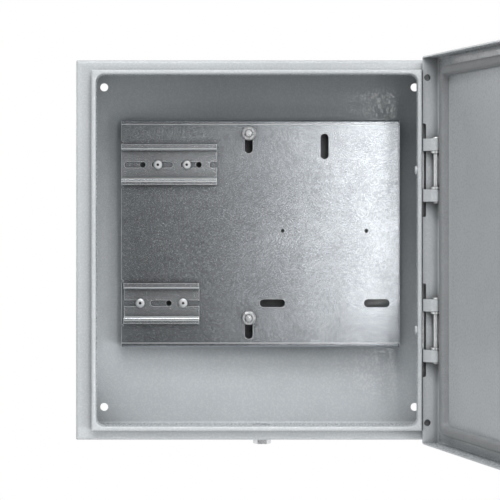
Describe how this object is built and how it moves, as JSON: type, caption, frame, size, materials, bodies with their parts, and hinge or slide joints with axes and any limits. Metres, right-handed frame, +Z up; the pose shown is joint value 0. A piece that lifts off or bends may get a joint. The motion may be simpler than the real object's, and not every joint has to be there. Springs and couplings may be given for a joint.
{
  "type": "steel wall enclosure",
  "caption": "Wall-mounting steel enclosure with an open hinged door, a slotted mounting plate and DIN rails.",
  "frame": {"origin": "centre of the wall-hole pattern, on the rear face that lies on the wall", "axes": "+Z up, +Y into the wall, +X to the right as seen from the front; the door side faces -Y"},
  "size_m": [0.3698, 0.4329, 0.3194],
  "materials": {
    "enclosure_paint": "light grey powder coat with a fine texture",
    "galvanised_sheet": "hot-dip galvanised, fine matt grain",
    "zinc_fastener": "bright zinc plate",
    "rivet_aluminium": "bright drawn aluminium",
    "hinge_zinc": "satin zinc plate",
    "gasket_foam": "poured foam, mid grey, matt",
    "lock_metal": "satin chromed zinc casting",
    "cam_steel": "zinc-plated stamped steel"
  },
  "bodies": {
    "enclosure": {"body_shell": "enclosure_paint", "mounting_plate": "galvanised_sheet", "plate_studs": "zinc_fastener", "stud_washers": "zinc_fastener", "stud_nuts": "zinc_fastener", "din_rail_upper": "galvanised_sheet", "din_rail_lower": "galvanised_sheet", "rail_rivets_upper": "rivet_aluminium", "rail_rivets_lower": "rivet_aluminium", "earth_bolt": "zinc_fastener", "earth_washers": "zinc_fastener", "earth_nut": "zinc_fastener", "hinge_leaf_upper": "enclosure_paint", "hinge_leaf_lower": "enclosure_paint", "hinge_leaf_rivets": "enclosure_paint", "hinge_pin_upper": "hinge_zinc", "hinge_pin_lower": "hinge_zinc"},
    "door": {"door_shell": "enclosure_paint", "hinge_bracket_upper": "hinge_zinc", "hinge_bracket_lower": "hinge_zinc", "door_gasket": "gasket_foam", "lock_housing": "lock_metal", "lock_nut": "zinc_fastener"},
    "lock": {"lock_plug": "lock_metal", "lock_cam": "cam_steel", "cam_washer": "zinc_fastener", "cam_screw": "zinc_fastener"}
  },
  "joints": [
    {"name": "door_hinge", "type": "hinge", "parent": "enclosure", "child": "door", "pos_m": [0.143, -0.144, 0], "axis": [0, 0, 1], "range_deg": [-104, 0]},
    {"name": "lock_turn", "type": "hinge", "parent": "door", "child": "lock", "pos_m": [0.20481, -0.39191, 0], "axis": [-0.9703, -0.2419, 0], "range_deg": [0, 90]}
  ]
}
